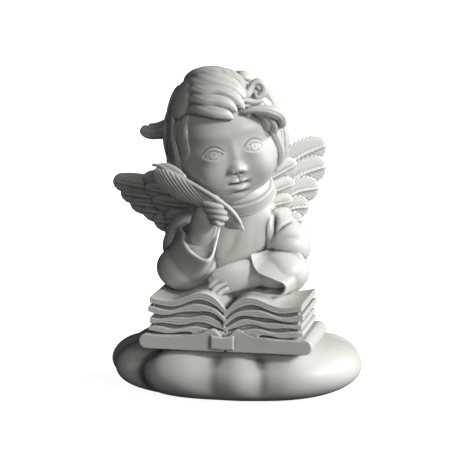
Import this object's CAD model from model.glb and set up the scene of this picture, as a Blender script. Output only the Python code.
"""The looks of the angel statue: a winged child with a quill at an open book on a cloud, cast in white.

Every form is drawn in millimetres, at the height that DRAWN_HEIGHT gives, and comes to the frame's own size
in mesh_of. X runs to the child's left, -Y is the front and Z is up, as in the frame.
"""

import bpy
import numpy as np
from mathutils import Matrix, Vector


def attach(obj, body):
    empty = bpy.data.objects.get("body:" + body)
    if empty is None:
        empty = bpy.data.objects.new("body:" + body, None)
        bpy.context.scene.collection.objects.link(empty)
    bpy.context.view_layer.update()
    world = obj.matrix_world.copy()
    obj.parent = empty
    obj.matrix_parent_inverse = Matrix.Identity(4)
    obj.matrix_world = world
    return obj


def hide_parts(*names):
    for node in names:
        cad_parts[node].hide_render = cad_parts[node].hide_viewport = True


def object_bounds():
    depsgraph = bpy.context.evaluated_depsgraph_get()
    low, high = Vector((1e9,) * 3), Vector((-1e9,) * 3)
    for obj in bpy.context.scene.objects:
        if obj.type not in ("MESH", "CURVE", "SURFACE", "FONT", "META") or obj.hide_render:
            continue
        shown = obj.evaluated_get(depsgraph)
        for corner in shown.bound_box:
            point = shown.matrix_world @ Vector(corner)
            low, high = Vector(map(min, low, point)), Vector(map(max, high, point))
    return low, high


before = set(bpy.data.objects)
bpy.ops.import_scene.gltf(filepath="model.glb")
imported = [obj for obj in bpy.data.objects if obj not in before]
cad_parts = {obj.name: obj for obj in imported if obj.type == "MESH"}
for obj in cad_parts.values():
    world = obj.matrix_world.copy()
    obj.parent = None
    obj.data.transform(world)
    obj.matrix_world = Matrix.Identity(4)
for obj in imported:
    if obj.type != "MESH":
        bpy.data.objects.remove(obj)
cad_box = [list(corner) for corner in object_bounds()]

# The frame's size, and how finely the pieces are cast
DRAWN_HEIGHT = 117.1
MM = (cad_box[1][2] - cad_box[0][2]) / DRAWN_HEIGHT
COARSE = 1.0
MOST_TRIANGLES = 188000

# Cloud and book, in millimetres
CLOUD_WIDTH = 92.0
CLOUD_DEPTH = 68.0
CLOUD_TOP = 20.5

# The valleys between the cloud's puffs: angle and half width in degrees, and depth as a share of the radius
CLOUD_VALLEYS = np.array([
    (-132, 8, 0.08), (-93, 11, 0.085), (-69, 10, 0.085), (14, 10, 0.03), (42, 10, 0.06), (82, 9, 0.06),
    (124, 9, 0.06), (166, 9, 0.05), (-160, 8, 0.04)])
BOOK_WIDTH = 62.0
BOOK_DEPTH = 33.0
BOOK_MIDDLE = 1.2
BOOK_FRONT = -29.0
BOOK_BACK = BOOK_FRONT + BOOK_DEPTH
BOARD_THICKNESS = 4.6
BOARD_LOW = CLOUD_TOP - 0.8
BOARD_FULL = CLOUD_TOP + BOARD_THICKNESS - BOARD_LOW
PAGE_STACK = 12.0
PAGE_MARGIN = 2.8
# The folds of pages on each side, from the lowest: start and end, as shares of the stack's height
LEFT_FOLDS = ((0.05, 0.18), (0.28, 0.45), (0.58, 0.73), (0.82, 1.0))
RIGHT_FOLDS = ((0.05, 0.2), (0.3, 0.44), (0.55, 0.7), (0.8, 1.0))
GROOVE_DEPTH = 1.6

# The child, from its seat under the top of the pages, and its head's turn, lean and lift in degrees
SEAT_DROP = 19.1
SEAT = np.array([0.0, 0.0, CLOUD_TOP + BOARD_THICKNESS + PAGE_STACK - SEAT_DROP])
# The robe's body from below: the middle of each section, its half width and its half depth
BODY = np.array([
    (0, 12, -3, 26, 16.5), (0, 12, 4, 25, 16.5), (0, 10, 12, 21, 14.5), (0.4, 6.0, 22, 17, 13.4),
    (1.2, 3.6, 31, 16, 11.8), (2.2, 2.6, 39, 14, 10.6), (3.0, 2.4, 46, 11.0, 9.4),
    (3.0, 2.6, 51, 9.4, 8.6)])
HEAD_PLACE = np.array([-4.8, -1.0, 73.7])
HEAD_TURN = 22.0
HEAD_LEAN = 10.5
HEAD_LIFT = 4.0
SKULL = np.array([18.3, 18.0, 21.0])

# The camera: the photograph's side in pixels, millimetres to a pixel, and its place in degrees and mm
PHOTO_PIXELS = 470
PIXEL = 0.36
CAMERA_AZIMUTH = 11
CAMERA_HEIGHT = 10
CAMERA_FAR = 750
LOOK_HEIGHT = 58


def unit(vectors):
    """Vectors divided by their length along the last axis."""
    return vectors / np.maximum(np.linalg.norm(vectors, axis=-1, keepdims=True), 1e-9)


def smooth_path(points, count):
    """A Catmull-Rom curve through the points, read at count even steps of its parameter."""
    points = np.asarray(points, float)
    if points.ndim == 1:
        points = points[:, None]
    ends = np.vstack([2 * points[0] - points[1], points, 2 * points[-1] - points[-2]])
    t = np.linspace(0, len(points) - 1, count)
    k = np.minimum(t.astype(int), len(points) - 2)
    f = (t - k)[:, None]
    p0, p1, p2, p3 = ends[k], ends[k + 1], ends[k + 2], ends[k + 3]
    square, cube = 2 * p0 - 5 * p1 + 4 * p2 - p3, 3 * p1 - p0 - 3 * p2 + p3
    return 0.5 * (2 * p1 + (p2 - p0) * f + square * f**2 + cube * f**3)


def turned(x=0.0, y=0.0, z=0.0):
    """The matrix that turns by x, then y, then z degrees about the fixed axes."""
    a, b, c = np.radians([x, y, z])
    about_x = np.array([[1, 0, 0], [0, np.cos(a), -np.sin(a)], [0, np.sin(a), np.cos(a)]])
    about_y = np.array([[np.cos(b), 0, np.sin(b)], [0, 1, 0], [-np.sin(b), 0, np.cos(b)]])
    about_z = np.array([[np.cos(c), -np.sin(c), 0], [np.sin(c), np.cos(c), 0], [0, 0, 1]])
    return about_z @ about_y @ about_x


def child(points):
    """Places given from the child's seat, in the frame's place."""
    return SEAT + np.asarray(points, float)


def bump(x, z, at_x, at_z, wide, tall):
    """A soft hill one high: e to minus the squared distance from its middle, in its half widths."""
    return np.exp(-(((x - at_x) / wide) ** 2) - ((z - at_z) / tall) ** 2)


def step(value, width):
    """A smooth stair from 0 to 1: a half plus half the hyperbolic tangent of value over width."""
    return 0.5 + 0.5 * np.tanh(value / width)


def even_by(density, low, high, count):
    """count values from low to high, close where the density is large: its running sum, read backwards."""
    fine = np.linspace(low, high, 4000)
    total = np.concatenate([[0], np.cumsum(density(fine)[1:])])
    return np.interp(np.linspace(0, total[-1], count), total, fine)


class Shells:
    """Closed shells that are cast together as one piece."""

    def __init__(self):
        self.points, self.quads, self.fans, self.count = [], [], [], 0

    def add(self, rings):
        """A closed shell from rings of points: quads between them, and a fan to the middle at each end."""
        length, around, _ = rings.shape
        i, j = np.meshgrid(np.arange(length - 1) * around, np.arange(around), indexing="ij")
        after = (j + 1) % around
        quads = np.stack([i + j, i + after, i + around + after, i + around + j], -1).reshape(-1, 4)
        ring = np.arange(around)
        after = (ring + 1) % around
        low, last = length * around, (length - 1) * around
        near = np.stack([np.full(around, low), after, ring], -1)
        far = np.stack([np.full(around, low + 1), last + ring, last + after], -1)
        self.points.append(np.vstack([rings.reshape(-1, 3), rings[0].mean(0), rings[-1].mean(0)]))
        self.quads.append(quads + self.count)
        self.fans.append(np.vstack([near, far]) + self.count)
        self.count += low + 2


def mesh_of(name, shells):
    """The shells as one mesh in metres: its corners and faces are handed over as whole arrays."""
    points = np.vstack(shells.points) * MM
    quads, fans = np.vstack(shells.quads), np.vstack(shells.fans)
    corners = np.concatenate([quads.ravel(), fans.ravel()])
    starts = np.concatenate([np.arange(len(quads)) * 4, quads.size + np.arange(len(fans)) * 3])
    mesh = bpy.data.meshes.new(name)
    mesh.vertices.add(len(points))
    mesh.vertices.foreach_set("co", points.astype(np.float32).ravel())
    mesh.loops.add(len(corners))
    mesh.loops.foreach_set("vertex_index", corners.astype(np.int32))
    mesh.polygons.add(len(starts))
    mesh.polygons.foreach_set("loop_start", starts.astype(np.int32))
    mesh.update(calc_edges=True)
    mesh.validate()
    return mesh


def placed(name, data):
    """A new object in the scene, with the given mesh, light or camera."""
    made = bpy.data.objects.new(name, data)
    bpy.context.scene.collection.objects.link(made)
    return made


def rows_of(mesh, name):
    """The places or the normals of the mesh's vertices, one row for each."""
    values = np.empty(len(mesh.vertices) * 3, np.float32)
    mesh.vertices.foreach_get(name, values)
    return values.reshape(-1, 3)


def hollows(mesh, rounds=26):
    """How deep each vertex lies in a hollow: how far its smoothed place stands out of it, along its normal.

    Each round moves a vertex halfway to the mean of its neighbours. The result is in millimetres, above
    zero in hollows and below zero on ridges.
    """
    count = len(mesh.vertices)
    start, normal = rows_of(mesh, "co").astype(float), rows_of(mesh, "normal")
    edges = np.empty(len(mesh.edges) * 2, np.int32)
    mesh.edges.foreach_get("vertices", edges)
    a, b = edges.reshape(-1, 2).T
    number = np.maximum(np.bincount(a, minlength=count) + np.bincount(b, minlength=count), 1)
    place = start.copy()
    for _ in range(rounds):
        for axis in range(3):
            along = place[:, axis]
            total = np.bincount(a, along[b], count) + np.bincount(b, along[a], count)
            place[:, axis] = 0.5 * along + 0.5 * total / number
    return ((place - start) * normal).sum(1) / MM


def press(mesh, lines):
    """Folds pressed into a skin along lines: each vertex moves inwards by the depth times a bell curve.

    The bell curve is e to minus the distance from the line over the width, to the power 1.6. A negative
    depth raises a ridge. Each line thins out to nothing at both ends.
    """
    place, normal = rows_of(mesh, "co") / MM, rows_of(mesh, "normal")
    for points, width, depth in lines:
        path = smooth_path(child(points), 60)
        low, high = path.min(0) - 4 * width, path.max(0) + 4 * width
        near = np.flatnonzero(((place > low) & (place < high)).all(1))
        away = np.linalg.norm(place[near, None] - path[None], axis=2)
        nearest = away.argmin(1)
        taper = np.sin(np.pi * (nearest + 1) / 61) ** 0.5
        bell = np.exp(-((away.min(1) / width) ** 1.6)) * taper
        place[near] -= normal[near] * (depth * bell)[:, None]
    mesh.vertices.foreach_set("co", (place * MM).astype(np.float32).ravel())
    mesh.update()


def finish_piece(name, mesh, material):
    """A piece of the casting: smooth, with its hollows kept as an attribute, riding on the one body."""
    mesh.name = name
    mesh.shade_smooth()
    depth = mesh.attributes.new("hollow", "FLOAT", "POINT")
    depth.data.foreach_set("value", hollows(mesh).astype(np.float32))
    mesh.materials.clear()
    mesh.materials.append(material)
    piece = placed(name, mesh)
    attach(piece, "root")
    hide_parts("angel_statue")


def applied(rough):
    """The object's mesh with its modifiers applied."""
    bpy.context.view_layer.update()
    return bpy.data.meshes.new_from_object(rough.evaluated_get(bpy.context.evaluated_depsgraph_get()))


def cast(name, shells, material, grain, soften=1, share=1.0, folds=()):
    """Shells fused into one skin of the given grain in millimetres, softened, pressed and thinned.

    share is the piece's part of the most triangles that one piece may have.
    """
    triangles = round(share * MOST_TRIANGLES)
    rough = placed(name + "_shells", mesh_of(name + "_shells", shells))
    fuse = rough.modifiers.new("Fuse", "REMESH")
    fuse.mode = "VOXEL"
    fuse.voxel_size = grain * COARSE * MM
    smooth = rough.modifiers.new("Soften", "SMOOTH")
    smooth.factor = 0.5
    smooth.iterations = soften
    fused = applied(rough)
    press(fused, folds)
    fused.calc_loop_triangles()
    count = len(fused.loop_triangles)
    if count > triangles:
        rough.modifiers.clear()
        rough.data = fused
        thin = rough.modifiers.new("Thin", "DECIMATE")
        thin.ratio = triangles / count
        fused = applied(rough)
    bpy.data.objects.remove(rough, do_unlink=True)
    finish_piece(name, fused, material)


def ball(middle, radii, around=72):
    """An ellipsoid in rings about its Z axis: radii times the unit sphere, at its middle."""
    lift = np.linspace(-np.pi / 2, np.pi / 2, around // 2 + 1)[1:-1, None]
    angle = np.linspace(0, 2 * np.pi, around, endpoint=False)[None, :]
    level = np.sin(lift) + 0 * angle
    sphere = np.stack([np.cos(lift) * np.cos(angle), np.cos(lift) * np.sin(angle), level], -1)
    return sphere * np.asarray(radii, float) + child(middle)


def limb(points, widths, depths=None, facing=(0.0, 1.0, 0.0), around=56, length=90, carve=None, blunt=1.0,
         place=child):
    """A profile carried along a smooth path, from the child's seat or where place puts it.

    The path runs through the points. Its oval profile is widths across and depths along the facing
    direction, both half sizes read at the same points. Both ends are rounded over a length of blunt
    times the half depth. carve(t, angle) gives the share by which the profile swells there.
    """
    path = smooth_path(place(points), length)
    wide = np.maximum(smooth_path(widths, length), 0.05)
    deep = wide if depths is None else np.maximum(smooth_path(depths, length), 0.05)
    along = unit(np.gradient(path, axis=0))
    facing = smooth_path(facing, length) if np.ndim(facing) > 1 else np.asarray(facing, float)[None, :]
    side = unit(np.cross(along, facing))
    out = np.cross(side, along)
    run = np.concatenate([[0], np.cumsum(np.linalg.norm(np.diff(path, axis=0), axis=1))])
    reach = np.maximum(blunt * deep[:, 0], 1e-6)
    near = np.minimum(run, run[-1] - run)
    cap = np.sqrt(np.clip(1 - (1 - np.clip(near / reach, 0, 1)) ** 2, 0.0004, 1))[:, None]
    angle = np.linspace(0, 2 * np.pi, around, endpoint=False)[None, :]
    swell = 1.0 if carve is None else 1.0 + carve(np.linspace(0, 1, length)[:, None], angle)
    across = (wide * cap * swell * np.cos(angle))[..., None] * side[:, None, :]
    outward = (deep * cap * swell * np.sin(angle))[..., None] * out[:, None, :]
    return path[:, None, :] + across + outward


def torus(middle, radii, thickness, turn, around=90, profile=24):
    """A ring as one shell: a round profile carried round an oval, with its two ends meeting."""
    u = np.linspace(0, 2 * np.pi, around)[:, None]
    v = np.linspace(0, 2 * np.pi, profile, endpoint=False)[None, :]
    reach = 1 + thickness * np.cos(v) / np.mean(radii)
    level = thickness * np.sin(v) + 0 * u
    ring = np.stack([radii[0] * reach * np.cos(u), radii[1] * reach * np.sin(u), level], -1)
    return ring @ turn.T + child(middle)


def cloud_base(material):
    """The cloud: a low pillow whose rim swells into puffs.

    In plan it is a slightly squared oval, drawn in at the valleys between the puffs by a bell curve of
    the angle, most at mid height. Upwards it follows the sphere's level, a little fuller near the rim,
    and is cut flat below. A low hill runs round the top inside the rim and dips at each valley.
    """
    angle = np.linspace(-180, 180, 330, endpoint=False)
    apart = (angle[:, None] - CLOUD_VALLEYS[None, :, 0] + 180) % 360 - 180
    valley = (CLOUD_VALLEYS[:, 2] * np.exp(-np.abs(apart / CLOUD_VALLEYS[:, 1]) ** 1.8)).sum(1)
    turn = np.radians(angle)[None, :]
    lift = np.linspace(-np.pi / 2, np.pi / 2, 102)[1:-1, None]
    level = np.sin(lift)
    power = 2.3
    square = (np.abs(np.cos(turn)) ** power + np.abs(np.sin(turn)) ** power) ** (-1 / power)
    upper = np.exp(-(((level - 0.1) / 0.85) ** 4))
    plan = np.cos(lift) ** 0.55 * (1 - valley * upper) * square
    sunk = 0.02 * CLOUD_TOP
    half = (CLOUD_TOP + sunk) / 2
    rise = level * (1.12 - 0.12 * level**2)
    above = np.clip(2 * level, 0, 1)
    inside_rim = np.exp(-(((np.cos(lift) - 0.75) / 0.22) ** 2))
    dome = (0.5 - 26 * valley) * inside_rim * above**2 * (3 - 2 * above)
    x = CLOUD_WIDTH / 2 * plan * np.cos(turn)
    y = CLOUD_DEPTH / 2 * plan * np.sin(turn)
    z = np.maximum(half - sunk + half * rise + dome, 0.0)
    shells = Shells()
    shells.add(np.stack([x, y, z], -1))
    finish_piece("cloud_base", mesh_of("cloud_base", shells), material)


def page_height(level, s):
    """The height of a page over the boards, from the gutter at s = 0 to its outer edge at s = 1.

    level is 0 for the lowest page and 1 for the top one. The top page's height is a smooth line through
    shares of the page stack, and the pages below gather towards the boards near the gutter.
    """
    top_page = [0.74, 1.1, 1.26, 1.23, 1.1, 1.0, 1.01, 1.09]
    heights = smooth_path(top_page, 71)[:, 0]
    top = np.interp(s, np.linspace(0, 1, 71), heights)
    gather = np.exp(-s / 0.1)
    wave = 0.03 * np.sin(2 * np.pi * (2.2 * s + 1.6 * level)) * (1 - gather) * (1 - level**4)
    return PAGE_STACK * (top * (gather * level**1.4 + (1 - gather) * level) + wave)


def page_fold(shells, side, low, high, setback, lines=3):
    """One thick fold of pages: a flat section carried from the gutter outwards along the page heights.

    The section's front and outer edges are cut by a few fine lines, the sine of the level, for its pages.
    """
    s = np.linspace(0, 1, 150)[:, None]
    run = BOOK_WIDTH / 2 - PAGE_MARGIN - setback
    lean = 1.0 if side < 0 else 0.93
    base = CLOUD_TOP + BOARD_THICKNESS
    front, back = BOOK_FRONT + 0.8 + setback, BOOK_BACK - 0.8 - setback
    depth = np.linspace(front, back, 20)
    share = np.linspace(0, 1, 8 * lines + 1)[1:-1]
    cut = 0.45 * (1 - np.abs(np.sin(np.pi * lines * share)) ** 0.5)
    depth = np.concatenate([depth, back - cut, depth[::-1], front + cut])[None, :]
    level = np.concatenate([np.zeros(20), share, np.ones(20), share[::-1]])[None, :]
    level = low + (high - low) * level
    x = BOOK_MIDDLE + side * (s * run - 0.6) + 0 * depth
    z = base + lean * page_height(level, s)
    shells.add(np.stack([x, depth + 0 * s, z], -1))


def board_outline(side):
    """The outline of one board: a rounded outer end, and a top that rises and rolls over at the spine."""
    base, thick = BOARD_LOW, BOARD_FULL
    half = BOOK_WIDTH / 2
    turn = np.linspace(-np.pi / 2, np.pi / 2, 24)
    end_x = half - thick / 2 + thick / 2 * np.cos(turn)
    end_z = base + thick / 2 + thick / 2 * np.sin(turn)
    s = np.linspace(0.96 - thick / 2 / half, 0.1, 40)
    top_z = base + thick + 2.3 * np.exp(-(((s - 0.14) / 0.11) ** 2)) + 0.35 * np.sin(2 * np.pi * s)
    x = np.concatenate([[0.5], end_x, s * half, [1.2, 0.5]])
    z = np.concatenate([[base], end_z, top_z, [base + thick + 0.4, base + 0.6 * thick]])
    return np.stack([BOOK_MIDDLE + side * x, z], -1)


def carried_outline(outline, front, back, rounding=0.6):
    """A closed outline of x and z carried from front to back, with its two end edges rounded."""
    middle = outline.mean(0)
    long = np.linalg.norm(outline - middle, axis=1, keepdims=True)
    turn = np.linspace(0, np.pi / 2, 6)
    inset = np.concatenate([1 - np.sin(turn), 1 - np.sin(turn[::-1])])
    pulled_in = rounding * (1 - np.cos(turn))
    along = np.concatenate([front + pulled_in, back - pulled_in[::-1]])
    ring = middle + (outline - middle) * (1 - inset[:, None, None] * rounding / long)
    y = np.broadcast_to(along[:, None], ring.shape[:2])
    return np.stack([ring[..., 0], y, ring[..., 1]], -1)


def open_book(material):
    """The open book: two boards and a spine block, with fanned folds of pages on both sides."""
    shells = Shells()
    for side in (-1, 1):
        shells.add(carried_outline(board_outline(side), BOOK_FRONT, BOOK_BACK))
        for k, (low, high) in enumerate(LEFT_FOLDS if side < 0 else RIGHT_FOLDS):
            page_fold(shells, side, low, high, 0.5 * (k % 2))
        page_fold(shells, side, 0.0, 0.95, GROOVE_DEPTH)
    low, high = BOARD_LOW + 0.2 * BOARD_FULL, BOARD_LOW + 1.08 * BOARD_FULL
    spine = np.array([(-4.2, low), (0, low - 0.4), (4.2, low), (4.2, high), (0, high - 0.5), (-4.2, high)])
    shells.add(carried_outline(spine + np.array([BOOK_MIDDLE - 0.8, 0]), BOOK_FRONT - 0.6, BOOK_FRONT + 6))
    cast("open_book", shells, material, grain=0.23)


def back_folds():
    """Folds down the back of the skirt: lines at shares of its half width, on the body's own oval."""
    z = np.array([2.0, 10, 18, 26, 34])
    y, wide, deep = (np.interp(z, BODY[:, 2], BODY[:, k]) for k in (1, 3, 4))
    shares = np.array([-0.8, -0.52, -0.2, 0.14, 0.45, 0.76])
    depths = [1.0, 1.3, 0.9, 1.3, 1.0, 1.1]
    return [(np.stack([share * wide, y + deep * np.sqrt(1 - share**2), z], -1), 1.7, depth)
            for share, depth in zip(shares, depths)]


def robe(shells):
    """The robe: body and spread skirt, full upper sleeves and the bell sleeves.

    The skirt's folds are a cosine of eleven times the angle, fading upwards by a fourth power.
    """
    def folds(t, angle):
        return 0.06 * (1 - t) ** 4 * np.cos(11 * angle + 2 * np.sin(2 * angle))

    shells.add(limb(BODY[:, :3], BODY[:, 3], BODY[:, 4], around=220, length=160, carve=folds, blunt=0.2))
    shells.add(limb(
        [(-9, 3, 43), (-15, 2.5, 40.5), (-18.6, -1.0, 34.5), (-18.6, -6, 28)], [6.5, 8, 8.3, 8.6]))
    shells.add(ball((-17.0, -7.6, 27.2), (10.8, 9.5, 8.6)))
    shells.add(limb(
        [(9, 3, 44), (14.2, 1.8, 41.2), (18.4, -0.4, 35), (19.0, -3.6, 28)], [6.2, 6.8, 8.4, 8.8]))
    shells.add(ball((17.4, -6.5, 26.8), (10.2, 10.0, 7.8)))
    raised_rim = [(-19.2, -8.4, 42.4), (-18.0, -11.6, 40.6), (-17.3, -15, 37.8), (-14.4, -18.4, 34.8),
                  (-10, -20.6, 32.6), (-6.6, -21, 31.9), (-5.0, -18.8, 33.4), (-4.4, -14.6, 37.6),
                  (-4.0, -10.5, 43), (-7, -6.5, 45), (-14.5, -5.6, 44.4)]
    bell_sleeve(shells, (-17.6, -7.2, 26.8), 9.3, raised_rim, 0.05, wall=1.4)
    resting_rim = [(7.6, -14, 34.0), (9, -17.6, 31.4), (11.1, -19.4, 29.0), (14.3, -20.2, 27.7),
                   (18, -20.6, 26.4), (21, -20.4, 25.2), (21.7, -19.5, 23.2), (20.3, -19, 20.6),
                   (17.2, -18.5, 19.8), (12.9, -18, 19.6), (9, -15, 19.6), (6.4, -10, 21.5), (6.2, -6, 26),
                   (7, -8, 31.5)]
    bell_sleeve(shells, (18.8, -4, 27.2), 8.8, resting_rim, 0.72)


def collar(shells):
    """The collar: a snug flat band round the neck, low in front, with fine ribs and a bead at each edge."""
    turn = turned(x=25, y=-13)
    up = turn @ np.array([0, 0, 1.0])
    middle = np.array([3.0, 1.6, 53.0])
    for height in np.linspace(-1.5, 1.5, 7):
        shells.add(torus(middle + height * up, (9.9, 10.2), 0.75, turn))
    for height in (-1.9, 1.5):
        shells.add(torus(middle + height * up, (10.3, 10.6), 0.6, turn))
    for height in (-0.9, -0.2, 0.5):
        shells.add(torus(middle + height * up, (10.45, 10.75), 0.3, turn))


def bell_sleeve(shells, elbow, size, rim, hollow, wall=1.1):
    """A wide sleeve: it opens from a round elbow to a free rim, turns over a thin lip and runs back inside.

    The outside is drawn from a circle round the elbow to the rim's closed smooth line, the lip is a small
    half circle, and the inside is the same form, a wall's thickness smaller, to a rounded bottom.
    """
    elbow, rim = np.asarray(elbow, float), np.asarray(rim, float)
    closed = smooth_path(np.vstack([rim[-2:], rim, rim[:3]]), 12 * (len(rim) + 4) + 1)[24:-25]
    middle = closed.mean(0)
    oval = (closed - middle)[None]
    forward = unit(middle - elbow)
    across = oval - (oval @ forward)[..., None] * forward
    long = np.linalg.norm(oval, axis=-1, keepdims=True)
    t = np.linspace(-0.35, 1, 60)[:, None, None]
    round_part = unit(across) * size * np.sqrt(np.maximum(1 - np.minimum(t, 0) ** 2 / 0.1226, 0.0004))
    share = np.maximum(t, 0) ** 1.15
    outside = elbow + (middle - elbow) * t + round_part * (1 - share) + oval * share
    t = np.linspace(0, 1, 12)[1:, None, None]
    turn_over = wall * (1 - np.cos(np.pi * t)) / 2
    lip = middle + oval * (1 - turn_over / long) + forward * wall * 0.5 * np.sin(np.pi * t)
    t = np.linspace(0, 1, 24)[1:, None, None]
    close = np.sqrt(np.maximum(1 - t**3, 0.0004))
    inside = middle + (elbow - middle) * hollow * t + oval * (1 - wall / long) * close * (1 - 0.25 * t)
    shells.add(child(np.concatenate([outside, lip, inside])))


def arms(shells):
    """The raised forearm with its fist, and the other forearm, which runs on into the resting hand."""
    shells.add(limb(
        [(-14, -6, 28), (-12.4, -8.0, 34), (-10.6, -11.2, 39.4), (-9.2, -14.0, 44.6), (-7.2, -16.0, 49.2),
         (-6.0, -16.6, 52)], [4.8, 4.8, 4.9, 4.9, 4.2, 3.0]))
    shells.add(limb(
        [(18, -5, 28.6), (13.4, -9.6, 28.2), (9.0, -12.6, 27.2), (5.4, -15.0, 26.8), (2.2, -17.2, 26.2),
         (-0.6, -18.8, 25.4), (-3.0, -19.8, 24.6), (-4.8, -20.2, 23.8)],
        [4.2, 4.6, 5.3, 5.5, 5.4, 5.2, 4.7, 3.4], [4.2, 4.2, 4.0, 3.8, 3.2, 2.4, 1.6, 0.8],
        facing=(-0.4, 1.0, 0.15)))
    fist(shells)
    resting_fingers(shells)


def fist(shells):
    """The raised hand: a rounded palm, four fingers curled round the quill and the thumb behind it."""
    shells.add(ball((-5.2, -16.4, 49.2), (4.3, 3.4, 4.6)))
    fingers = [((-8.6, 52.4), (-0.7, 51.8)), ((-7.5, 50.4), (0.3, 49.7)), ((-6.3, 48.2), (0.5, 47.6)),
               ((-5.2, 46.4), (-0.9, 45.7))]
    for (start, high), (end, low) in fingers:
        middle, level = (start + end) / 2, (high + low) / 2
        finger = [(start - 0.2, -17.6, high), (start + 0.9, -19.8, high + 0.1),
                  (middle, -20.9, level + 0.1), (end - 1.3, -20.6, low), (end, -19.0, low - 0.1)]
        shells.add(limb(finger, [0.95, 1.12, 1.18, 1.12, 0.9], around=32, length=50, facing=(0, 0, 1)))
    thumb = [(-7.5, -15.6, 50.0), (-5.6, -16.4, 53.4), (-3.2, -17.4, 54.4)]
    shells.add(limb(thumb, [1.5, 1.4, 1.1], around=28, length=30))


def resting_fingers(shells):
    """The resting hand's four short fingers, side by side, bent down over the book's gutter."""
    fingers = [
        [(0.6, -18.6, 29.0), (-2.0, -19.4, 28.2), (-4.6, -20.3, 26.6), (-6.3, -20.7, 24.6)],
        [(0.4, -19.7, 27.0), (-2.2, -20.5, 26.0), (-4.6, -21.1, 24.6), (-6.1, -21.3, 22.7)],
        [(0.6, -20.2, 24.8), (-1.8, -20.9, 23.9), (-3.8, -21.5, 22.6), (-4.9, -21.6, 21.0)],
        [(1.2, -20.2, 22.8), (-0.8, -21.0, 22.0), (-2.4, -21.5, 20.8), (-3.1, -21.6, 19.4)],
    ]
    for finger in fingers:
        shells.add(limb(finger, [0.7, 0.95, 1.15, 1.0], around=32, length=50))


def robe_and_hands(material):
    """The robe, soft with its folds pressed in, and crisper the collar, neck, forearms, hands and feet."""
    cloth, skin = Shells(), Shells()
    robe(cloth)
    arms(skin)
    collar(skin)
    skin.add(limb([(3.0, 3, 44), (3.0, 1.8, 51), (2.4, 1.3, 55), (0, 0.5, 62)], [9.4, 10.3, 10.1, 9.0]))
    for side in (-1, 1):
        foot = [(side * 7, 20, 2.0), (side * 7.6, 26, 2.0), (side * 8.2, 29.2, 3.0),
                (side * 8.4, 30.0, 6.4)]
        skin.add(limb(foot, [3.6, 3.8, 3.8, 2.8], [3.0, 3.4, 2.8, 2.0]))
    folds = [
        ([(12.2, -1.6, 48), (12.4, -3.4, 44), (12.6, -4.6, 40), (12.9, -4.9, 35.6)], 1.5, -0.9),
        ([(13.8, -0.8, 49.2), (14.4, -3.8, 45.6), (14.3, -5.0, 41), (14.2, -5.6, 37), (14.6, -6.6, 33.8)],
         0.9, 2.3),
        ([(14.8, -5.2, 39), (16.4, -5.6, 41.6), (18.4, -4.6, 43.4), (20.4, -2.2, 44.2)], 0.8, 0.9),
        ([(15.4, -6.4, 36.6), (18, -7.0, 38.6), (21, -6.2, 39.4), (24, -4.0, 38.8)], 1.1, 0.7),
        ([(-14, -4.4, 43), (-17.4, -4.6, 40), (-21, -4.6, 37.6), (-24.4, -3.0, 36)], 1.0, 0.9),
        ([(-12.8, -6.4, 39.6), (-15.4, -8, 37.6), (-19.4, -9, 34.6), (-24, -7.6, 32.6)], 1.1, 0.7),
        ([(-3.4, -8.4, 31), (0, -8.6, 36), (1.4, -8.4, 41), (3.0, -7.4, 45.6)], 1.6, 0.4),
        ([(9.0, -8.2, 32), (8.0, -8.4, 37), (8.6, -7.6, 42), (9.4, -6.6, 46)], 1.6, 0.35),
    ]
    folds += back_folds()
    cast("robe", cloth, material, grain=0.3, soften=12, share=0.5, folds=folds)
    cast("collar_hands_feet", skin, material, grain=0.22, soften=3, share=0.5)


def feather(shells, root, tip, facing, half_width, thickness=1.2, sag=0.0, barb=0.16):
    """One feather: a flat leaf along a slightly bent shaft, with a raised shaft and sloping barbs.

    Its half width swells towards the outer third and ends in a round tip, its section is a thin oval, the
    shaft is a small ridge in the middle of both faces, and the barbs are waves that slope to the tip and
    deepen towards the edge.
    """
    root, tip, facing = (np.asarray(v, float) for v in (root, tip, facing))
    length = np.linalg.norm(tip - root)
    middle = (root + tip) / 2 + unit(np.cross(tip - root, facing)) * sag * length

    def carve(t, angle):
        side = np.abs(np.cos(angle))
        flat = np.abs(np.sin(angle)) ** 0.7
        ridge = 0.6 * np.exp(-((side / 0.09) ** 2)) * flat
        wave = np.abs(np.sin(np.pi * (length * t / 1.6 - side * half_width * 0.72))) ** 0.7
        return ridge - barb * (1 - wave) * (2.4 * flat * (0.25 + side) ** 1.5 + 0.35)

    shape = [0.55, 0.85, 1.0, 1.0, 0.92, 0.6]
    widths = half_width * np.interp(np.linspace(0, 1, 12), np.linspace(0, 1, len(shape)), shape)
    spine = smooth_path([root, middle, tip], 12)
    shells.add(limb(
        spine, widths, thickness * np.linspace(1.1, 0.8, 12), facing,
        around=88, length=200, carve=carve, blunt=2.4))


def fan(shells, roots, tips, half_widths, facing, count, **more):
    """A fan of feathers: their roots, tips and half widths are read at even steps along smooth lines."""
    spread = zip(smooth_path(roots, count), smooth_path(tips, count), smooth_path(half_widths, count)[:, 0])
    for root, tip, half in spread:
        feather(shells, root, tip, facing, half, **more)


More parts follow.
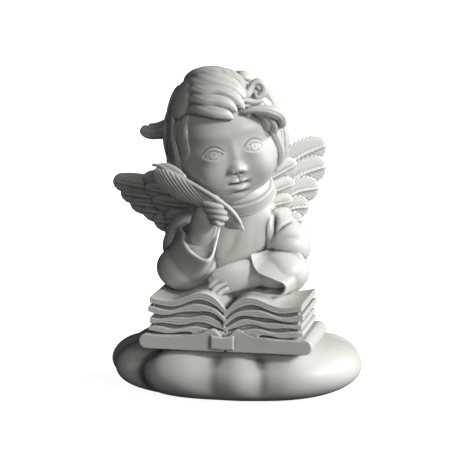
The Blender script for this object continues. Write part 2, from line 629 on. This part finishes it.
def wings(material):
    """Both wings, each a fan of long feathers from the shoulder blade with short ones over their roots."""
    aside, behind = (-0.15, 1.0, 0.1), (0.8, -0.6, 0.0)
    right, left = Shells(), Shells()
    fan(right, [(-14, 13, 54), (-14, 13, 47), (-14, 12, 39)],
        [(-49.6, 14.6, 54.4), (-44.6, 14.8, 47.4), (-37.0, 13.8, 42.8), (-29.4, 12, 36.0)], [4.8, 4.8, 4.4],
        aside, 6, sag=0.05, barb=0.05, thickness=1.5)
    fan(right, [(-15, 11.6, 56), (-14, 11.2, 43)],
        [(-37.6, 12.2, 56.6), (-36, 12.2, 50.4), (-29.4, 11.6, 42.4)], [3.6, 4.1, 3.9],
        aside, 4, sag=0.04, thickness=1.6, barb=0.04)
    long_feathers = [
        ((10, 12.6, 56.4), (28.8, 28.6, 68.0), 5.9),
        ((11, 13.6, 52.0), (28.4, 28.4, 60.0), 6.0),
        ((11, 13.2, 48.2), (25.8, 25.0, 52.4), 5.4),
        ((12, 12.2, 44.6), (22.6, 19.8, 46.0), 4.6),
        ((12, 11.2, 42.0), (20.4, 15.8, 41.4), 3.2),
    ]
    coverts = [
        ((9.0, 8.8, 57.4), (19.4, 17.0, 62.6), 3.9),
        ((9.0, 8.4, 52.4), (18.6, 15.4, 55.4), 3.7),
        ((9.6, 8.6, 48.0), (18.0, 13.8, 49.4), 3.3),
        ((10.4, 8.8, 44.8), (17.6, 12.6, 44.4), 2.6),
    ]
    layers = ((long_feathers, 0.7, 2.0, 1.2, -0.07, 0.22), (coverts, 0.4, 1.0, 1.3, 0.0, 0.03))
    for feathers, apart, first, thickness, sag, barb in layers:
        for k, (root, tip, half) in enumerate(feathers):
            back = np.array((-0.8, 0.6, 0.0)) * (apart * (len(feathers) - k) - first)
            feather(left, root + back, tip + back, behind, half, thickness, sag, barb)
    cast("right_wing", right, material, grain=0.25, share=0.4)
    cast("left_wing", left, material, grain=0.2, share=0.6)


def quill(material):
    """The big plume in the raised hand: its shaft along the upper edge and a wide vane below it.

    The barbs are grooves whose distance along the vane grows with the distance below the shaft, so they
    sweep down towards the hand, and their section is a row of rounded strands.
    """
    def barbed(t, angle):
        below = (1 - np.cos(angle)) / 2
        wave = np.abs(np.sin(np.pi * (21 * t - 6.5 * below + 0.8 * below**2))) ** 0.6
        return -0.34 * (1 - wave) * np.abs(np.sin(angle)) ** 0.4

    shells = Shells()
    shaft = [(-27.4, -16.6, 65.4), (-24, -17.4, 65.0), (-20, -18, 63.2), (-13.4, -19, 59.9),
             (-8.2, -19.8, 57.2), (-3.0, -20.4, 54.2), (1.3, -20, 51.0), (4.2, -19.2, 47.2),
             (5.8, -18, 43.0)]
    shells.add(limb(shaft, [0.5, 0.7, 0.8, 0.8, 0.8, 0.85, 0.8, 0.7, 0.5], around=24, length=160))
    edge = [(-24.6, -17.0, 65.7), (-21.6, -17.4, 65.0), (-18.0, -17.8, 63.4), (-14.6, -18.2, 61.4)]
    shells.add(limb(edge, [0.4, 1.2, 1.2, 0.4], [0.7] * 4, around=32, length=60))
    vane = [(-26.8, -16.6, 63.4), (-23.2, -17.6, 60.6), (-17.8, -18.2, 57.8), (-12, -18.6, 55.4),
            (-6, -18.8, 52.8), (-1.8, -18.8, 50.2), (0.8, -18.4, 47.8), (1.9, -18, 45.6),
            (2.1, -17.8, 43.4)]
    shells.add(limb(
        vane, [1.6, 3.9, 4.3, 3.8, 3.4, 3.2, 3.2, 3.6, 3.9], [1.0] * 9, facing=(0.3, 1.0, 0.2),
        around=110, length=360, carve=barbed))
    cast("quill", shells, material, grain=0.18, share=0.4)


HEAD_TURNED = turned(z=HEAD_TURN) @ turned(y=-HEAD_LEAN) @ turned(x=-HEAD_LIFT)


def head_place(points):
    """Points of the head's own frame, x to its left and -y the way it faces, in the statue's place."""
    return child(np.asarray(points, float) @ HEAD_TURNED.T + HEAD_PLACE)


def skull(turn, lift):
    """The bare skull at an angle from the face's middle and a height angle, both in radians.

    It is an ellipsoid, rounder and longer in its lower half: there the cosine of the height is raised to
    a power below one, the width has a bell curve at the cheeks and the depth shrinks towards the jaw.
    """
    z = np.sin(lift)
    jaw = np.clip(-z, 0, 1)
    out = np.cos(lift) ** (1 - 0.30 * np.sqrt(jaw))
    wide = SKULL[0] * (1 + 0.07 * np.exp(-(((z + 0.42) / 0.36) ** 2)) - 0.03 * jaw**3)
    deep = SKULL[1] * (1 + 0.03 * z - 0.10 * jaw**2)
    tall = SKULL[2] * (1 + 0.12 * jaw)
    return np.stack([out * np.sin(turn) * wide, -out * np.cos(turn) * deep, z * tall], -1)


def eye(both, z):
    """An open eye: the ball's bulge, an almond opening between soft lids, a crease above, an iris ring."""
    wide, middle, level = 3.5, 7.3, -4.2
    x = (both - middle) / wide
    arch = np.clip(1 - x**2, 0, 1)
    upper = level + 1.9 * arch**0.8 + 0.2 * x
    lower = level - 1.3 * arch + 0.2 * x
    within = step(np.minimum(upper - z, z - lower), 0.2) * step(1 - np.abs(x), 0.05)
    near = bump(both, z, middle, level + 0.3, 4.6, 3.4)
    relief = 2.0 * bump(both, z, middle, level, 3.7, 3.0)
    relief += 0.5 * (1 - within) * near
    window = step(1.1 - np.abs(x), 0.15)
    relief -= 0.3 * np.exp(-(((z - upper - 1.1) / 0.4) ** 2)) * window
    ring = np.hypot(both - middle, z - level - 0.3)
    iris = 0.12 * np.exp(-(((ring - 1.45) / 0.2) ** 2)) + 0.2 * np.exp(-((ring / 0.6) ** 2))
    return relief - within * iris


def face_relief(x, z):
    """How far the face stands out of the skull: a sum of soft hills and dents, for a calm child's face.

    In turn they are the cheeks, the eye sockets, the brow, the eyes, the nose's tip and bridge, its wings,
    the nostrils, the groove and mound round the mouth, the lips, their line and corners, and the chin.
    """
    both = np.abs(x)
    relief = 3.1 * bump(both, z, 10.2, -11.4, 6.6, 6.2)
    relief -= 1.8 * bump(both, z, 7.2, -3.4, 5.2, 3.8)
    relief += 0.6 * bump(both, z, 7.6, 2.4, 6.0, 2.6)
    relief += eye(both, z)
    relief += 2.6 * bump(x, z, 0.0, -9.9, 2.1, 1.7) + 0.6 * bump(x, z, 0.0, -5.8, 2.0, 3.4)
    relief += 1.1 * bump(both, z, 2.1, -10.5, 1.1, 1.0)
    relief -= 0.7 * bump(both, z, 1.0, -11.8, 0.6, 0.45)
    relief -= 0.3 * bump(x, z, 0.0, -12.9, 0.6, 1.0)
    relief += 1.5 * bump(x, z, 0.0, -15.4, 5.0, 3.4)
    mouth = step(2.9 - both, 0.4)
    relief += 0.65 * bump(both, z, 1.2, -14.1, 1.7, 0.7) + 1.2 * bump(x, z, 0.0, -16.9, 2.1, 0.95)
    relief -= 1.7 * np.exp(-(((z + 15.4 - 0.06 * both) / 0.5) ** 2)) * mouth
    relief -= 0.6 * bump(both, z, 3.3, -15.2, 0.9, 0.9)
    relief -= 0.8 * bump(x, z, 0.0, -18.7, 3.2, 0.9)
    relief += 1.3 * bump(x, z, 0.0, -21.2, 4.0, 2.3)
    return relief


def head(material):
    """The head: the skull with the face's relief pushed out where it faces forward, finest at the face."""
    turn = even_by(lambda t: 0.25 + 2.6 * np.exp(-((t / 0.75) ** 2)), -np.pi, np.pi, 241)[None, :-1]
    lift = even_by(
        lambda t: 0.4 + 1.6 * np.exp(-(((t + 0.35) / 0.6) ** 2)), -np.pi / 2, np.pi / 2, 222)[1:-1, None]
    points = skull(turn + 0 * lift, lift + 0 * turn)
    forward = np.clip(-points[..., 1] / SKULL[1] * 1.6, 0, 1)
    push = face_relief(points[..., 0], points[..., 2]) * forward
    outward = unit(unit(points / SKULL**2) + np.array([0.0, -0.8, 0.0]))
    shells = Shells()
    shells.add(head_place(points + push[..., None] * outward))
    finish_piece("head", mesh_of("head", shells), material)


def on_head(angles, count):
    """A smooth path over the head, from rows of turn and height in degrees and lift off the skull."""
    angles = np.asarray(angles, float)
    turn, lift = np.radians(angles[:, 0]), np.radians(angles[:, 1])
    toward = np.stack([np.cos(lift) * np.sin(turn), -np.cos(lift) * np.cos(turn), np.sin(lift)], -1)
    toward = unit(smooth_path(toward, count))
    off = smooth_path(angles[:, 2], count)
    turn, lift = np.arctan2(toward[:, 0], -toward[:, 1]), np.arcsin(toward[:, 2])
    surface = skull(turn, lift)
    outward = unit(surface / SKULL**2)
    return surface + outward * off, outward


def lock(shells, angles, widths, thick=2.0, strands=2, wave=0.0, groove=0.2, square=2.3):
    """One lock of hair: a flattened strand over the head with sharp grooves between its round strands.

    Its half widths are read along it and its outer face bulges by thick. Across it, each strand is a
    rounded rise, the sine of its share of the width to a power below one, with three finer ones in it,
    and they drift a little from side to side on the way. wave swings the whole lock.
    """
    count = 140
    path, outward = on_head(angles, count)
    t = np.linspace(0, 1, count)
    along = unit(np.gradient(path, axis=0))
    side = unit(np.cross(along, outward))
    path = path + side * (wave * np.sin(2 * np.pi * 1.6 * t))[:, None]
    widths = smooth_path(widths, count)[:, 0]
    depth = thick * np.minimum(1, 0.35 + widths / max(widths.max(), 1e-6))

    def carve(t, angle):
        across = (1 + np.cos(angle)) / 2 + 0.04 * np.sin(5 * t)
        broad = 1 - np.abs(np.sin(np.pi * strands * across)) ** 0.6
        fine = 1 - np.abs(np.sin(np.pi * (3 * strands * across + 0.6 * np.sin(7 * t)))) ** 0.8
        full = (np.abs(np.cos(angle)) ** square + np.abs(np.sin(angle)) ** square) ** (-1 / square) - 1
        return full - (groove * broad + 0.42 * groove * fine) * np.clip(np.sin(angle), 0, 1) ** 0.4

    shells.add(limb(path, widths, depth, outward @ HEAD_TURNED.T, 96, count, carve, 1.2, head_place))


def hair_cap(shells):
    """The cap of hair: the skull, raised where there is hair, more at the back, and sunk at the face."""
    turn = np.linspace(-np.pi, np.pi, 200, endpoint=False)[None, :]
    lift = np.linspace(-np.pi / 2, np.pi / 2, 142)[1:-1, None]
    from_face = (np.abs(turn) / 1.12) ** 2.4 + (np.clip(lift, 0, 2) / 0.66) ** 2.4
    nape = np.clip((lift + 0.95) / 0.3, 0, 1)
    share = np.clip((from_face - 0.9) / 0.5, 0, 1) * nape
    points = skull(turn + 0 * lift, lift + 0 * turn)
    outward = unit(points / SKULL**2)
    back = np.clip(points[..., 1] / SKULL[1], 0, 1)
    rise = share * (2.2 + 1.6 * back) - 1.2
    shells.add(head_place(points + outward * rise[..., None]))


def curls(shells):
    """The locks that stand clear of the head: the flying one, the loop, two under it and the right nub."""
    flying = [(4.6, -14.9, 84.2), (8.0, -14.3, 85.2), (11.2, -13.2, 85.2), (14.4, -11.8, 84.6),
              (17.2, -9.6, 82.9), (18.0, -8.4, 80.4), (16.8, -8.2, 78.2)]
    shells.add(limb(flying, [0.5, 1.2, 1.7, 2.1, 2.1, 1.7, 0.7], [0.8, 1.5, 2.0, 2.2, 2.1, 1.8, 1.0],
                    around=72, length=140, carve=strand_lines))
    inner = [(8.6, -13.0, 83.8), (11.6, -11.8, 83.6), (14.0, -10.2, 82.0), (15.4, -8.6, 79.2),
             (15.6, -7.4, 76.0)]
    shells.add(limb(inner, [0.6, 1.2, 1.4, 1.2, 0.6], [1.6] * 5, around=56, length=100, carve=strand_lines))
    loop = [(5.2, -9.4, 88.6), (6.0, -8, 91.4), (7.4, -6.8, 93.8), (9.4, -6.2, 94.2), (10.9, -6, 92.6),
            (10.6, -6, 90.4), (8.9, -6.6, 89.4), (7.6, -7.4, 90.4)]
    shells.add(limb(loop, [1.3, 1.4, 1.3, 1.3, 1.3, 1.3, 1.1, 0.7], [2.0] * 8, around=48, length=140,
                    carve=strand_lines))
    for low in (0.0, 1.7):
        under = np.array([(1.6, -13.2, 87.8), (5.4, -12.0, 88.4), (9.0, -10.6, 87.8), (12.2, -8.8, 88.6)])
        under -= (0.6, 0.6, low)
        shells.add(limb(under, [0.9, 1.05, 1.0, 0.5], [1.6] * 4, around=36, length=70))
    nub = [(-16, 1, 78.6), (-23, 3.0, 76.6), (-29.4, 4, 74.8), (-34.0, 4.4, 74.6), (-35.6, 4.0, 76.4)]
    shells.add(limb(nub, [5.4, 4.2, 3.2, 2.8, 1.4], [4.0, 3.4, 2.6, 2.0, 1.2], carve=strand_lines))


def strand_lines(t, angle):
    """Three sharp grooves along the outer face of a free lock, drifting a little from side to side."""
    across = (1 + np.cos(angle)) / 2 + 0.05 * np.sin(4 * t)
    line = 1 - np.abs(np.sin(np.pi * 3 * across)) ** 0.6
    return -0.16 * line * np.abs(np.sin(angle)) ** 0.4


def hair(material):
    """The hair: a cap behind the hairline, the fringe, the side locks and wavy locks down the back."""
    shells = Shells()
    hair_cap(shells)
    fringe = [
        ([(-84, 36, -1.8), (-66, 38.5, -0.8), (-52, 39.5, 0.3), (-38, 37.5, 1.4), (-26, 34, 2.0),
          (-12, 29, 2.2), (-1, 24, 1.9), (6, 18.5, 1.0)], [1.2, 2.2, 2.7, 2.8, 2.8, 2.7, 2.0, 0.5], 1, 1.3),
        ([(-92, 43, -1.4), (-74, 47, -0.4), (-56, 49, 1.0), (-40, 46.5, 2.2), (-22, 41.5, 2.8),
          (-7, 38.5, 2.8), (4, 33, 2.6), (12, 24, 1.4)], [1.6, 2.6, 3.0, 2.9, 2.8, 2.7, 2.3, 0.5], 1, 1.5),
        ([(-96, 50, -0.8), (-78, 55.5, 0.4), (-60, 58, 2.0), (-42, 55.5, 2.9), (-22, 50.5, 3.2),
          (-3, 48, 3.2), (10, 41, 3.0), (17, 32, 2.4), (21, 25, 1.3)],
         [1.8, 2.8, 3.1, 3.0, 2.8, 2.6, 2.6, 2.0, 0.5], 1, 1.6),
        ([(-124, 56, 0.6), (-104, 65, 1.6), (-74, 68.5, 2.5), (-40, 67, 3.1), (-10, 62, 3.4), (12, 53, 3.3),
          (22, 43, 2.8), (27, 32, 1.5)], [2.6, 3.8, 4.8, 5.1, 5.0, 4.5, 3.2, 0.8], 1, 1.8),
        ([(-150, 60, 3.8), (-120, 80, 3.2), (40, 77, 2.0), (38, 62, 1.5), (35, 49, 1.4), (33, 36, 1.2)],
         [4.4, 5.6, 5.8, 5.2, 4.0, 1.8], 1, 2.2),
        ([(160, 66, 2.0), (120, 72, 0.8), (84, 64, 0.0), (64, 50, -0.2), (50, 37, 0.4)],
         [4.0, 5.0, 5.0, 4.0, 2.0], 3, 2.0),
    ]
    sides = [
        ([(-54, 44, 0.0), (-60, 33, 0.1), (-63, 21, 0.1), (-61, 8, -0.1), (-59, -5, -0.3),
          (-62, -20, -0.4)], [1.6, 3.0, 3.6, 3.4, 3.0, 1.2], 1, 0.8),
        ([(27, 36, -0.4), (36, 31, 0.5), (43, 22, 1.0), (47, 11, 0.8), (50, 0, 0.2)],
         [1.2, 2.2, 2.5, 2.0, 0.8], 3, 1.2),
        ([(48, 19, 0.4), (54, 6, 0.8), (63, -8, 1.0), (73, -22, 1.3), (80, -33, 1.0), (76, -43, 0.4)],
         [1.2, 2.0, 2.3, 2.3, 1.9, 0.8], 3, 1.4),
        ([(60, 33, 0.6), (72, 19, 1.2), (86, -2, 1.4), (95, -20, 1.2), (92, -36, 0.6)],
         [2.2, 3.4, 3.8, 3.2, 1.2], 4, 1.5),
        ([(-70, 50, 2.2), (-80, 38, 1.7), (-86, 22, 0.8), (-84, 8, 0.5), (-79, -6, 0.3), (-85, -20, 0.6),
          (-86, -34, 0.4)], [2.4, 3.6, 4.2, 3.8, 3.4, 2.8, 1.0], 2, 1.2),
        ([(-92, 58, 3.4), (-101, 45, 2.5), (-107, 28, 1.1), (-104, 10, 0.2), (-107, -6, 0.3),
          (-100, -26, 0.6)], [3.6, 5.0, 5.6, 5.2, 4.6, 1.8], 3, 1.4),
        ([(-112, 4, 0.4), (-110, -10, 1.0), (-104, -20, 1.6), (-99, -34, 1.2)],
         [3.4, 4.0, 3.6, 1.4], 2, 1.6),
    ]
    for angles, widths, strands, thick in fringe + sides:
        lock(shells, angles, widths, thick=thick, strands=strands)
    temple = [(-54, 76, 2.4), (-68, 63, 2.7), (-70, 51, 2.2), (-69, 39, 1.3), (-67, 27, 0.2)]
    lock(shells, temple, [2.5, 5.2, 6.4, 6.0, 3.0], thick=1.8, strands=1, groove=0.05, square=2.0)
    for k in range(9):
        turn = 104 + 18 * k
        low = -38 - 6 * (k % 2)
        flat = 1.0 if k < 7 else 0.3
        angles = [(turn - 16, 64, 2.4 * flat), (turn, 44, 3.2 * flat), (turn + 4, 20, 3.8 * flat),
                  (turn - 2, -4, 3.6 * flat), (turn + 3, -24, 3.2 * flat), (turn, low, 2.0 * flat)]
        lock(shells, angles, [2.6, 4.2, 4.8, 4.4, 3.6, 1.2], thick=2.2, strands=3, wave=0.9)
    curls(shells)
    cast("hair", shells, material, grain=0.25)


class Value:
    """A shader value as an expression: an operator on it adds the Math node that works it out."""

    def __init__(self, shading, socket):
        self.shading, self.socket = shading, socket

    def math(self, operation, first, second):
        node = self.shading.node("ShaderNodeMath", {"operation": operation}, {0: first, 1: second})
        return Value(self.shading, node.outputs[0])

    def __add__(self, other):
        return self.math("ADD", self, other)

    __radd__ = __add__

    def __sub__(self, other):
        return self.math("SUBTRACT", self, other)

    def __rsub__(self, other):
        return self.math("SUBTRACT", other, self)

    def __mul__(self, other):
        return self.math("MULTIPLY", self, other)

    __rmul__ = __mul__

    def within(self, low, high):
        """The value between two bounds, as a share from 0 to 1."""
        node = self.shading.node(
            "ShaderNodeMapRange", {"clamp": True}, {"Value": self, "From Min": low, "From Max": high})
        return Value(self.shading, node.outputs[0])


class Shading:
    """The nodes of one material."""

    def __init__(self, name):
        self.material = bpy.data.materials.new(name)
        self.material.use_nodes = True
        self.tree = self.material.node_tree
        self.shader = self.tree.nodes["Principled BSDF"]

    def node(self, kind, settings, values):
        """A node of that type: its settings first, then each socket's value or link."""
        made = self.tree.nodes.new(kind)
        for key, value in settings.items():
            setattr(made, key, value)
        for key, value in values.items():
            self.feed(made.inputs[key], value)
        return made

    def feed(self, socket, value):
        """A socket set to a constant, or linked to a value or another node's socket."""
        value = value.socket if isinstance(value, Value) else value
        if isinstance(value, bpy.types.NodeSocket):
            self.tree.links.new(value, socket)
        else:
            socket.default_value = value

    def noise(self, scale, detail=3.0):
        """Soft noise on object coordinates, as a value from 0 to 1."""
        place = self.node("ShaderNodeTexCoord", {}, {}).outputs["Object"]
        made = self.node("ShaderNodeTexNoise", {}, {"Vector": place, "Scale": scale, "Detail": detail})
        return Value(self, made.outputs["Fac"])

    def mix(self, share, first, second):
        """Two colours mixed by a share."""
        made = self.node("ShaderNodeMix", {"data_type": "RGBA"}, {"Factor": share, 6: first, 7: second})
        return made.outputs[2]


def white_casting():
    """White cast stone powder: satin, dark grey in the hollows, lighter and smoother on the ridges."""
    shading = Shading("white_casting")
    place = shading.node("ShaderNodeAttribute", {"attribute_name": "hollow"}, {}).outputs["Fac"]
    hollow = Value(shading, place)
    deep = hollow.within(0.01, 0.18)
    ridge = (0.0 - hollow).within(0.01, 0.2)
    cloudy = shading.noise(60.0, 4.0)
    grain = shading.noise(2600.0, 2.0)
    pores = shading.noise(900.0, 2.0).within(0.66, 0.74)
    dim, pale = (0.58, 0.582, 0.545, 1), (0.64, 0.642, 0.602, 1)
    worn, dark = (0.80, 0.80, 0.76, 1), (0.15, 0.147, 0.14, 1)
    body = shading.mix(cloudy.within(0.3, 0.7), dim, pale)
    body = shading.mix(ridge * 0.7, body, worn)
    body = shading.mix(deep * 0.9, body, dark)
    shading.feed(shading.shader.inputs["Base Color"], body)
    shading.feed(shading.shader.inputs["Roughness"], 0.40 + 0.14 * cloudy + 0.2 * deep - 0.06 * ridge)
    height = 0.6 * grain - 0.5 * pores + 0.8 * shading.noise(240.0, 2.0)
    bumps = shading.node("ShaderNodeBump", {}, {"Strength": 0.25, "Distance": 0.0001, "Height": height})
    shading.feed(shading.shader.inputs["Normal"], bumps.outputs[0])
    shading.shader.inputs["Specular IOR Level"].default_value = 0.45
    return shading.material


def floor():
    """A wide pale floor under the statue, bright of itself, as a paper sweep lit from all round."""
    shading = Shading("pale_floor")
    tint = shading.mix(shading.noise(3.0), (0.86, 0.86, 0.86, 1), (0.88, 0.88, 0.88, 1))
    shading.feed(shading.shader.inputs["Base Color"], tint)
    shading.shader.inputs["Roughness"].default_value = 0.8
    shading.shader.inputs["Emission Color"].default_value = (1, 1, 1, 1)
    shading.shader.inputs["Emission Strength"].default_value = 0.93
    half = 6.0
    mesh = bpy.data.meshes.new("floor")
    corners = [(-half, -half, 0), (half, -half, 0), (half, half, 0), (-half, half, 0)]
    mesh.from_pydata(corners, [], [(0, 1, 2, 3)])
    mesh.materials.append(shading.material)
    made = placed("floor", mesh)
    made.visible_diffuse = False
    made.visible_glossy = False


def sun(name, azimuth, height, energy, angle):
    """A soft far light from an azimuth to the viewer's right of the front and a height, in degrees."""
    light = bpy.data.lights.new(name, "SUN")
    light.energy = energy
    light.angle = np.radians(angle)
    made = placed(name, light)
    toward = -Vector(direction(azimuth, height))
    made.rotation_euler = toward.to_track_quat("-Z", "Y").to_euler()


def direction(azimuth, height):
    """The unit vector at an azimuth to the viewer's right of the front and a height, in degrees."""
    a, h = np.radians([azimuth, height])
    return (np.sin(a) * np.cos(h), -np.cos(a) * np.cos(h), np.sin(h))


def studio():
    """Two strong lights from the viewer's right, two weak ones nearer the front and a dim surround."""
    sun("key_light", 70, 25, 2.55, 12)
    sun("front_light", 35, 16, 0.35, 14)
    sun("side_light", 112, 28, 2.1, 18)
    sun("fill_light", 0, 20, 0.26, 40)
    world = bpy.data.worlds.new("surround")
    world.use_nodes = True
    world.node_tree.nodes["Background"].inputs[0].default_value = (1.0, 0.98, 0.94, 1)
    world.node_tree.nodes["Background"].inputs[1].default_value = 0.02
    bpy.context.scene.world = world
    bpy.context.scene.view_settings.view_transform = "Standard"


def camera():
    """The camera at the photograph's angle, to the viewer's right of the front and a little above."""
    far, target = CAMERA_FAR * MM, Vector((0, 0, LOOK_HEIGHT)) * MM
    seen = PHOTO_PIXELS * PIXEL * MM
    lens = bpy.data.cameras.new("camera")
    lens.lens = lens.sensor_width * far / seen
    lens.shift_x = -2 / PHOTO_PIXELS
    lens.shift_y = -5 / PHOTO_PIXELS
    lens.clip_start = 0.01
    made = placed("camera", lens)
    out = Vector(direction(CAMERA_AZIMUTH, CAMERA_HEIGHT))
    made.location = target + far * out
    made.rotation_euler = (-out).to_track_quat("-Z", "Y").to_euler()
    bpy.context.scene.camera = made


white = white_casting()
cloud_base(white)
open_book(white)
robe_and_hands(white)
wings(white)
quill(white)
head(white)
hair(white)
floor()
studio()
camera()
